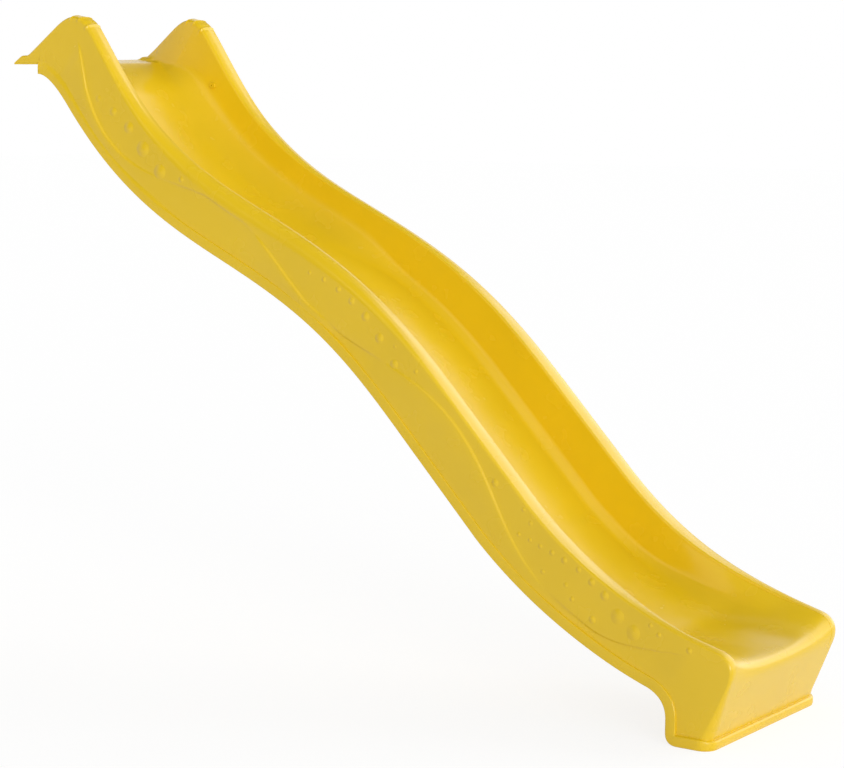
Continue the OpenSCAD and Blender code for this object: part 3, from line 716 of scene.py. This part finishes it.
def moulded_plastic(name, colour):
    """Glossy blow-moulded plastic: faint flow in the colour, uneven gloss and a fine skin."""
    mat, tree, bsdf, coords = new_material(name)
    flow = noise(tree, coords, scale=3.2, detail=4.0, roughness=0.55)
    skin = noise(tree, coords, scale=620, detail=2.0, roughness=0.6)
    wave = noise(tree, coords, scale=9.0, detail=2.0, roughness=0.4)
    gloss = noise(tree, coords, scale=14.0, detail=2.0)
    tint = ramp(tree, flow, ((0.25, shade(colour, 0.95)), (0.5, colour), (0.75, shade(colour, 1.04))))
    normal = bump(tree, wave, strength=0.03, distance=0.004)
    normal = bump(tree, skin, strength=0.004, distance=0.0004, Normal=normal)
    feed(bsdf, Base_Color=tint, Roughness=level(tree, gloss, 0.21, 0.29), Normal=normal, IOR=1.5,
         Specular_IOR_Level=0.5)
    return mat


def seal_rubber(name, colour):
    """Matt black rubber with a dusty bloom."""
    mat, tree, bsdf, coords = new_material(name)
    bloom = noise(tree, coords, scale=180, detail=4.0, roughness=0.6)
    grain = noise(tree, coords, scale=900, detail=2.0)
    feed(bsdf, Base_Color=ramp(tree, bloom, ((0.35, colour), (0.75, shade(colour, 2.2)))),
         Roughness=level(tree, bloom, 0.55, 0.75), Normal=bump(tree, grain, strength=0.15, distance=0.0003))
    return mat


def fitting_plastic(name, colour):
    """Grey moulded fitting with a satin grain."""
    mat, tree, bsdf, coords = new_material(name)
    cloud = noise(tree, coords, scale=90)
    grain = noise(tree, coords, scale=1400, detail=2.0)
    feed(bsdf, Base_Color=ramp(tree, cloud, ((0.3, shade(colour, 0.9)), (0.7, shade(colour, 1.1)))),
         Roughness=level(tree, cloud, 0.38, 0.52), Normal=bump(tree, grain, strength=0.12, distance=0.0002))
    return mat


def yellow_material():
    return moulded_plastic("slide_plastic", tuple(bpy.context.scene.slide_colours.yellow))


# The moulding's upper skin

def grip_ridges():
    """Height of the grip ridges over the rim at every station."""
    st = STATIONS
    out = np.zeros(len(st.s))
    fan = slice(st.DECK_N, st.DECK_N + st.FAN_N)
    for x in RIDGES:
        middle = np.interp(x, st.rims[fan, 0], st.s[fan])
        out += RIDGE_H * np.cos(np.clip((st.s - middle) / RIDGE_L, -1, 1) * math.pi / 2) ** 2
    return out


def half_width(z, s):
    """Half width over the side walls at distances along the rim."""
    return z.body_w / MM / 2 + SPREAD * PROFILE.to_end(s, SPREAD_LEN, SPREAD_LEN)


def channel_half(z):
    """One side of every section, from its foot over the rim to the middle of the bed: (y, height) per row."""
    st = STATIONS
    h, b = st.heights, st.bed
    w = half_width(z, st.s)
    s_rim = np.clip(st.s, 0, PROFILE.s_end)
    r = ease(PROFILE.along(s_rim, RIM_ROUNDS), NOSE_ROUND, st.nose_share)
    r = np.minimum(r + (z.apron_round / MM - NOSE_ROUND) * st.apron_share, ROUND_SHARE * h)
    # The rim's inner edge melts away over the exit
    melt = PROFILE.to_end(st.s, MELT_LEAD, MELT_LEN)
    ri_y = MELT_ROUND + (PROFILE.along(s_rim, INNER_ROUNDS) - MELT_ROUND) * (1 - melt)
    ri = np.minimum(ri_y, ROUND_SHARE * b)
    narrow = PROFILE.to_end(st.s, NARROW_LEAD, NARROW_LEN)
    inner = w - np.maximum(z.rim_w / MM * (1 - narrow) + NARROW_W * narrow, r + ri_y + RIM_FLAT)
    inner = inner + FLARE * np.maximum(FLARE_X - st.rims[:, 0], 0)
    ridge = grip_ridges()
    fillet = ease(ease(HEAD_FILLET, z.bowl_w / MM, st.opened), z.fillet_w / MM, st.drawn)
    ledge = ease(ease(LEDGES[0], LEDGES[1], st.opened), LEDGES[2], st.drawn)
    draft = z.draft / MM * ledge
    # In the bowl the fillet takes up the wall's slope, so that no crease shows
    lead = draft * (1 - ledge) / ledge * st.opened * (1 - st.drawn)
    # Height of the wave line, and of the ramp to each side of it
    share = st.s / PROFILE.s_end
    on = (share > STEP_TURNS[0]) & (share < STEP_TURNS[-1])
    g = np.minimum(z.step_w / MM, RAMP_SHARE * h)
    gh = np.where(on, h - wave_depth(share) - PROFILE.rise(st.s) - SWELL_PART * PROFILE.swell(st.s), h / 2)
    gh = np.clip(gh, LINE_LOW * h, h - r - LINE_ROOM * g)
    step = np.where(on, wave_step(share), 0) * z.step_h / MM
    # Outer wall: panel below the wave line, ramp, wall above it, and the ridges' run-out
    rows = []
    for f in (0, 0.15, 0.35, 0.55, 0.75, 0.9):
        rows.append((w + step * smooth((f - 0.1) / 0.8), (gh - g) * f))
    for u in np.linspace(-1, 1, 9):
        rows.append((w + step * (1 - smooth((u + 1) / 2)), gh + g * u))
    top = h - r
    wrap = np.minimum(RIDGE_WRAP, WRAP_SHARE * (top - gh - g))
    for f in (0.25, 0.5, 0.75):
        rows.append((w, gh + g + (top - wrap - gh - g) * f))
    for f in (0, 0.3, 0.55, 0.8):
        rows.append((w + ridge * smooth(f), top - wrap * (1 - f)))
    # Rim: outer edge, crown and inner edge
    for a in np.radians(np.linspace(0, 90, 11)):
        rows.append((w - r + (r + ridge) * math.cos(a), top + (r + ridge) * math.sin(a)))
    for f in (0.2, 0.4, 0.6, 0.8):
        crown = z.rim_crown / MM * np.minimum(1, b / CROWN_DEPTH) * 4 * f * (1 - f)
        rows.append(((w - r) * (1 - f) + (inner + ri_y) * f, h + crown + ridge))
    for a in np.radians(np.linspace(0, 90, 11)):
        rows.append((inner + ri_y * (1 - math.sin(a)) - ridge * math.sin(a),
                     h - ri * (1 - math.cos(a)) + ridge * math.cos(a)))
    # Basin: inner wall, fillet and bed
    basin = []
    for f in (0.06, 0.14, 0.24, 0.4, 0.6, 0.8):
        d = ri + (ledge * b - ri) * f
        basin.append((inner - draft * f - ridge * (1 - smooth((d - ri) / RIDGE_WRAP)), d))
    for a in np.linspace(0, math.pi / 2, 17):
        basin.append((inner - draft - lead * math.sin(a) * math.cos(a) - fillet * (1 - math.cos(a)),
                      b * (ledge + (1 - ledge) * math.sin(a))))
    bed_w = inner - draft - fillet
    sag = np.minimum(z.sag / MM, b)
    for f in (0.85, 0.7, 0.5, 0.25, 0):
        basin.append((bed_w * f, b + sag * (1 - f * f)))
    # Towards the exit the basin opens out into a shallow dish
    u = st.dish
    for k, (y, d) in enumerate(basin):
        q = (k + 1) / len(basin)
        dish_y = inner * (1 - q)
        dish_d = ri + (b - ri) * (1 - (1 - q) ** DISH_POWER)
        rows.append((y * (1 - u) + dish_y * u, h - d * (1 - u) - dish_d * u))
    return np.array([[y + 0 * h, v] for y, v in rows])


def section_points(half, feet, ups):
    """Whole sections in the profile, station by station, from the -y foot to the +y foot."""
    y = np.concatenate([-half[:, 0], half[-2::-1, 0]]).T
    v = np.concatenate([half[:, 1], half[-2::-1, 1]]).T
    xz = feet[:, None, :] + ups[:, None, :] * v[..., None]
    return np.stack([xz[..., 0], y, xz[..., 1]], axis=-1)


def edge_band(z):
    """The band that runs down both lower edges and on round the foot as its flange."""
    p, st = PROFILE, STATIONS
    w = half_width(z, p.s_end)
    i0 = st.DECK_N
    low, normal = st.lows[i0:], st.normals[i0:]
    front = p.sole_front - FLANGE_SIDE
    round_r = FLANGE_ROUND - FLANGE_SIDE
    x_turn = front - round_r
    ground = np.stack([np.linspace(low[-1, 0] + GROUND_LEAD, x_turn, GROUND_N), np.zeros(GROUND_N)], axis=-1)
    side = np.vstack([low, ground])
    side[0, 0] += BAND_CLEAR
    ups = np.vstack([unit(normal), np.tile([0, 1], (GROUND_N, 1))])
    ups[0] = (0, 1)
    walls = np.r_[half_width(z, st.s[i0:]), np.full(GROUND_N, w)]
    path = [((x, -y, zz), (0, -1, 0), (u[0], 0, u[1])) for (x, zz), y, u in zip(side, walls, ups)]
    foot = smooth((np.arange(len(side)) - st.foot_i + i0) / (len(low) - st.foot_i + i0))
    proud = list(z.band_proud / MM * (1 - foot) + FLANGE_SIDE * foot)
    for a in np.radians(np.linspace(0, 90, 13))[1:]:
        path.append(((x_turn + round_r * math.sin(a), -w + round_r - round_r * math.cos(a), 0),
                     (math.sin(a), -math.cos(a), 0), (0, 0, 1)))
    for y in np.linspace(-w + round_r, 0, 9)[1:]:
        path.append(((front, y, 0), (1, 0, 0), (0, 0, 1)))
    proud += [FLANGE_SIDE] * (len(path) - len(proud))
    proud += proud[-2::-1]
    path += [((c[0], -c[1], c[2]), (o[0], -o[1], o[2]), u) for c, o, u in path[-2::-1]]
    fore = np.array([o[0] for _, o, _ in path])
    heights = z.band_h / MM + (FLANGE_H - z.band_h / MM) * smooth(fore)
    soft = np.zeros(len(path))
    soft[:len(low)] = 1 - smooth((st.s[i0:] - BAND_SOFT[0]) / (BAND_SOFT[1] - BAND_SOFT[0]))
    soft = np.maximum(soft, soft[::-1])
    rows = []
    for (c, o, u), top, out, melt in zip(path, heights, proud, soft):
        r = (BAND_ROUND + (FRONT_ROUND - BAND_ROUND) * smooth(o[0])) * out
        inset = BAND_CREASE * out
        prof = [(-BAND_ROOT, BAND_FOOT)]
        prof += [(out - r + r * math.sin(a), r - r * math.cos(a)) for a in np.radians(np.linspace(0, 90, 6))]
        prof.append((out, top / 2))
        edge = [(out - r + r * math.cos(a), top - r + r * math.sin(a)) for a in np.radians(np.linspace(0, 80, 6))]
        edge += [(inset - inset * math.sin(a), top + inset - inset * math.cos(a))
                 for a in np.radians(np.linspace(10, 90, 6))]
        slope = [(out * (1 - smooth(t)), top + BAND_SLOPE * (t - 0.5)) for t in np.linspace(0, 1, len(edge))]
        prof += [(ease(a, sa, melt), ease(b, sb, melt)) for (a, b), (sa, sb) in zip(edge, slope)]
        prof += [(-BAND_ROOT, prof[-1][1]), (-BAND_ROOT, BAND_FOOT)]
        c, o, u = (np.array(v, float) for v in (c, o, u))
        rows.append([c + o * a + u * b for a, b in prof])
    ends = [[np.mean(row, axis=0)] * len(row) for row in (rows[0], rows[-1])]
    obj = sheet("edge_band", [ends[0]] + rows + [ends[1]])
    close(obj)
    return obj


class SLIDE_OT_channel(Operator):
    """Upper skin: bed, inner walls, rims, heads, outer walls with the wave line, nose, apron, band and flange"""
    bl_idname = "slide.channel"
    bl_label = "Channel"

    def execute(self, context):
        z = context.scene.slide_sizes
        obj = sheet("channel_skin", section_points(channel_half(z), STATIONS.feet, STATIONS.ups), flip=True)
        solidify(obj)
        screw_holes(obj, DECK_H + 10, 40)
        finish_piece(obj, "channel_shell")
        finish_piece(edge_band(z))
        return {"FINISHED"}


class SLIDE_OT_underside(Operator):
    """Lower skin: underside of the lip, hook face, recessed panel with two channels, rear of the foot and sole"""
    bl_idname = "slide.underside"
    bl_label = "Underside"

    def execute(self, context):
        z = context.scene.slide_sizes
        p, st = PROFILE, STATIONS
        low_n = len(st.lows)
        rear, front = st.lows[-1, 0], p.sole_front - SOLE_BACK
        sole_x = rear + (front - rear) * np.sin(shares(SOLE_N) * np.pi / 2)
        floor = np.vstack([st.lows, np.stack([sole_x, np.zeros(SOLE_N)], axis=-1)])
        normals = np.vstack([st.normals, np.tile([0, 1], (SOLE_N, 1))])
        i = np.arange(len(floor))
        first, last = st.DECK_N + st.FAN_N - PANEL_LEAD, st.foot_i + PANEL_TAIL
        recess = smooth(np.minimum(i - first, last - i) / PANEL_FADE)
        foot = smooth((i - st.foot_i) / (low_n - st.foot_i))
        walls = np.r_[half_width(z, st.s), np.full(SOLE_N, half_width(z, p.s_end))]
        half = np.where(i < st.DECK_N, walls, walls + z.band_proud / MM * BAND_COVER + FLANGE_COVER * foot)
        # The sole's front corners are round
        r = FLANGE_ROUND - CORNER_LESS
        past = np.maximum(floor[:, 0] - (front - r), 0)
        turned = (i >= low_n) & (past > 0)
        half = np.where(turned, half - r + np.sqrt(np.maximum(r ** 2 - past ** 2, 1)), half)

        flat, panel, top = 0 * recess, PANEL_RECESS * recess, CHANNEL_TOP * recess
        outer, inner = CHANNEL_Y + CHANNEL_HALF, CHANNEL_Y - CHANNEL_HALF + CHANNEL_RAMP
        climb = np.linspace(0, 1, 9)
        shape = [(half, flat), (half - LAND_W / 2, flat)]
        shape += [(half - LAND_W - PANEL_RAMP * t, panel * smooth(t)) for t in np.linspace(0, 1, 8)]
        shape.append((PANEL_OUTER, panel))
        shape += [(outer - CHANNEL_RAMP * t, panel + (top - panel) * smooth(t)) for t in climb]
        shape.append((CHANNEL_Y, top))
        shape += [(inner - CHANNEL_RAMP * t, top + (panel - top) * smooth(t)) for t in climb]
        shape += [(PANEL_INNER, panel), (0, panel)]
        rows = np.array([[y + flat, v] for y, v in shape])
        obj = sheet("underside_skin", section_points(rows, floor, normals))
        solidify(obj)
        screw_holes(obj, DECK_H, 30)
        finish_piece(obj, "underside_shell")
        return {"FINISHED"}


# Bubbles and water fitting

def dome():
    """A soft dome of 1 mm radius and height at the origin, whose edge runs out into the wall, closed below."""
    polar, turn = np.linspace(0, np.pi, DOME_RINGS + 1)[:, None], np.linspace(0, 2 * np.pi, DOME_SIDES + 1)
    rho = np.sin(polar)
    crown = (1 - np.minimum(rho, 1) ** DOME_CROWN) ** DOME_FOOT
    height = np.where(np.cos(polar) > -1e-6, crown, -DOME_SINK * (1 - rho ** 2)) + 0 * turn
    x, y = PROFILE.sole_mid + rho * np.cos(turn), rho * np.sin(turn)
    obj = sheet("bubble", np.stack([x, y, height], axis=-1))
    close(obj)
    return obj


def copies(template, name, places):
    """Copies of a template, each with its own mesh, put at matrices and joined."""
    objs = []
    for m in places:
        o = template.copy()
        o.data = template.data.copy()
        bpy.context.scene.collection.objects.link(o)
        o.data.transform(m)
        objs.append(o)
    bpy.data.objects.remove(template)
    activate(*objs)
    bpy.ops.object.join()
    obj = bpy.context.active_object
    obj.name = obj.data.name = name
    return obj


def wall_frame(x, y, zz, side, r, h):
    """Matrix that stands the dome on a side wall, at a point of the profile."""
    return Matrix(((r, 0, 0, (x - PROFILE.sole_mid) * MM), (0, 0, side * h, side * y * MM),
                   (0, -side * r, 0, zz * MM), (0, 0, 0, 1)))


class SLIDE_OT_ornament(Operator):
    """Bubbles on both side walls"""
    bl_idname = "slide.ornament"
    bl_label = "Bubbles"

    def execute(self, context):
        z = context.scene.slide_sizes
        places = []
        for side in (-1, 1):
            for x, zz, r, h in BUBBLES:
                nearest = np.argmin(np.hypot(PROFILE.path[:, 0] - x, PROFILE.path[:, 1] - zz))
                y = half_width(z, PROFILE.path_s[nearest]) - BUBBLE_SET
                places.append(wall_frame(x, y, zz, side, r, h))
        obj = copies(dome(), "wall_bubbles", places)
        finish_piece(obj, angle=60)
        return {"FINISHED"}


class SLIDE_OT_fitting(Operator):
    """Water fitting: seat of the nozzle, and materials for the nozzle, seals, nut, nipple and plugs"""
    bl_idname = "slide.fitting"
    bl_label = "Water fitting"

    def execute(self, context):
        colours = context.scene.slide_colours
        rubber = seal_rubber("seal_rubber", tuple(colours.seal))
        grey = fitting_plastic("fitting_plastic", tuple(colours.fitting))
        for mat, names in ((yellow_material(), ("jet_nozzle", "blow_plugs")),
                           (rubber, ("inner_seal", "outer_seal", "nipple_washer", "nipple_o_ring")),
                           (grey, ("lock_nut", "hose_nipple"))):
            for name in names:
                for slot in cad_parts[name].material_slots:
                    slot.material = mat
        lo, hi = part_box("inner_seal")
        x, zz = (lo[0] + hi[0]) / 2 / MM + PROFILE.sole_mid, (lo[2] + hi[2]) / 2 / MM
        y0 = hi[1] / MM
        deselect()
        # A moulded collar stands round the nozzle's face and hides the seal
        seat, bore = (cylinder(x, y0 + off, zz, r, length, math.pi / 2) for r, length, off in (COLLAR, COLLAR_BORE))
        cut(seat, bore)
        activate(seat)
        mod = seat.modifiers.new("edge", "BEVEL")
        mod.width = COLLAR_EDGE * MM
        mod.segments = 3
        mod.limit_method = "ANGLE"
        bpy.ops.object.modifier_apply(modifier=mod.name)
        seat.name = seat.data.name = "nozzle_seat"
        finish_piece(seat)
        return {"FINISHED"}


# Studio, in metres of the frame. Pairs of levels: for the light on the slide, and as seen directly.

FLOOR_SIZE = 60
FLOOR_COLOUR = (0.80, 0.20)
FLOOR_GLOW = (0.0, 0.83)
WORLD_LEVELS = (0.55, 1.0)
# Dark cards over the slide, past its far wall and beside its near wall, and the stops of their grey
CARDS = (
    ((-12, -5, 7), (2, -5, 7), (2, 5.5, 7), (-12, 5.5, 7)),
    ((-5.6, 6, 4.3), (-1.5, 6, 4.3), (-1.5, 6, 7), (-5.6, 6, 7)),
    ((-6.3, -6, 3.4), (-5.8, -6, 1.8), (-2.4, -6, 0.6), (-2.4, -6, 7), (-6.3, -6, 7)),
)
CARD_GREYS = ((0.3, 0.02), (0.7, 0.05))
# Lamps: strength, angle, direction that the light comes from
LAMPS = (("key", 2.3, 36, (0.81, -0.58, 0.12)), ("fill", 1.3, 64, (0.42, 0.80, 0.42)))
# Camera: place in the profile, tilt down and turn in degrees, focal length
CAMERA_AT = (4448.5, -4735.5, 1466.7)
CAMERA_TILT, CAMERA_TURN = 7.351, 35.664
CAMERA_LENS = 101.46


def seen_directly(tree):
    """1 for rays that show the stage itself: from the camera, mirrored, or through glass."""
    path = node(tree, "ShaderNodeLightPath")
    total = path.outputs["Is Camera Ray"]
    for name in ("Is Glossy Ray", "Is Transmission Ray"):
        either = node(tree, "ShaderNodeMath")
        either.operation = "MAXIMUM"
        tree.links.new(total, either.inputs[0])
        tree.links.new(path.outputs[name], either.inputs[1])
        total = either.outputs[0]
    return total


def studio_floor():
    """A pale floor that throws soft light on the slide and looks nearly white itself."""
    deselect()
    bpy.ops.mesh.primitive_grid_add(x_subdivisions=8, y_subdivisions=8, size=FLOOR_SIZE)
    floor = bpy.context.active_object
    floor.name = "studio_floor"
    mat = bpy.data.materials.new("studio_floor")
    tree = blank_tree(mat)
    seen = seen_directly(tree)
    diff = node(tree, "ShaderNodeBsdfDiffuse", Color=level(tree, seen, *FLOOR_COLOUR, 0, 1))
    glow = node(tree, "ShaderNodeEmission", Color=(1, 1, 1, 1), Strength=level(tree, seen, *FLOOR_GLOW, 0, 1))
    both = node(tree, "ShaderNodeAddShader")
    tree.links.new(diff.outputs[0], both.inputs[0])
    tree.links.new(glow.outputs[0], both.inputs[1])
    node(tree, "ShaderNodeOutputMaterial", Surface=both.outputs[0])
    floor.data.materials.append(mat)


def studio_cards():
    """Dark cards that only the gloss of the plastic mirrors."""
    mesh = bpy.data.meshes.new("studio_cards")
    ends = np.cumsum([len(card) for card in CARDS])
    faces = [list(range(end - len(card), end)) for card, end in zip(CARDS, ends)]
    mesh.from_pydata([corner for card in CARDS for corner in card], [], faces)
    cards = bpy.data.objects.new("studio_cards", mesh)
    bpy.context.scene.collection.objects.link(cards)
    mat, tree, bsdf, coords = new_material("studio_cards")
    grey = ramp(tree, noise(tree, coords, scale=0.6), [(at, (g, g, g)) for at, g in CARD_GREYS])
    feed(bsdf, Base_Color=grey, Roughness=0.9)
    cards.data.materials.append(mat)
    for kind in ("camera", "diffuse", "shadow", "transmission", "volume_scatter"):
        setattr(cards, f"visible_{kind}", False)


def studio_light():
    """Even white surroundings and two wide, soft lamps."""
    scene = bpy.context.scene
    scene.world = bpy.data.worlds.new("studio")
    tree = blank_tree(scene.world)
    strength = level(tree, seen_directly(tree), *WORLD_LEVELS, 0, 1)
    light = node(tree, "ShaderNodeBackground", Color=(1, 1, 1, 1), Strength=strength)
    node(tree, "ShaderNodeOutputWorld", Surface=light.outputs[0])
    for name, energy, angle, source in LAMPS:
        sun = bpy.data.lights.new(name, "SUN")
        sun.energy = energy
        sun.angle = math.radians(angle)
        lamp = bpy.data.objects.new(name, sun)
        scene.collection.objects.link(lamp)
        lamp.rotation_euler = Vector(source).to_track_quat("Z", "Y").to_euler()


def studio_camera():
    """A camera before the exit, to the near side, looking slightly down."""
    scene = bpy.context.scene
    cam = bpy.data.cameras.new("photo_camera")
    cam.sensor_fit = "HORIZONTAL"
    cam.sensor_width = 36
    cam.lens = CAMERA_LENS
    cam.clip_end = 200
    obj = bpy.data.objects.new("photo_camera", cam)
    scene.collection.objects.link(obj)
    x, y, zz = CAMERA_AT
    obj.location = ((x - PROFILE.sole_mid) * MM, y * MM, zz * MM)
    obj.rotation_euler = (math.radians(90 - CAMERA_TILT), 0, math.radians(CAMERA_TURN))
    scene.camera = obj


class SLIDE_OT_stage(Operator):
    """Floor, cards, surroundings, lamps and camera"""
    bl_idname = "slide.stage"
    bl_label = "Studio"

    def execute(self, context):
        studio_floor()
        studio_cards()
        studio_light()
        studio_camera()
        context.scene.view_settings.view_transform = "Standard"
        return {"FINISHED"}


STEPS = (SLIDE_OT_channel, SLIDE_OT_underside, SLIDE_OT_ornament, SLIDE_OT_fitting, SLIDE_OT_stage)


class SLIDE_PT_panel(Panel):
    """Sizes, colours and steps of the wave slide"""
    bl_idname = "SLIDE_PT_panel"
    bl_label = "Wave slide"
    bl_space_type = "VIEW_3D"
    bl_region_type = "UI"
    bl_category = "Wave slide"

    def draw(self, context):
        layout = self.layout
        for group in (context.scene.slide_sizes, context.scene.slide_colours):
            column = layout.column()
            for name in group.bl_rna.properties.keys():
                if name not in {"rna_type", "name"}:
                    column.prop(group, name)
        for step in STEPS:
            layout.operator(step.bl_idname)


CLASSES = (SlideSizes, SlideColours, *STEPS, SLIDE_PT_panel)


def register():
    for cls in CLASSES:
        bpy.utils.register_class(cls)
    bpy.types.Scene.slide_sizes = PointerProperty(type=SlideSizes)
    bpy.types.Scene.slide_colours = PointerProperty(type=SlideColours)


def unregister():
    del bpy.types.Scene.slide_colours
    del bpy.types.Scene.slide_sizes
    for cls in reversed(CLASSES):
        bpy.utils.unregister_class(cls)


def main():
    register()
    bpy.ops.slide.channel()
    bpy.ops.slide.underside()
    bpy.ops.slide.ornament()
    bpy.ops.slide.fitting()
    bpy.ops.slide.stage()


if __name__ == "__main__":
    main()
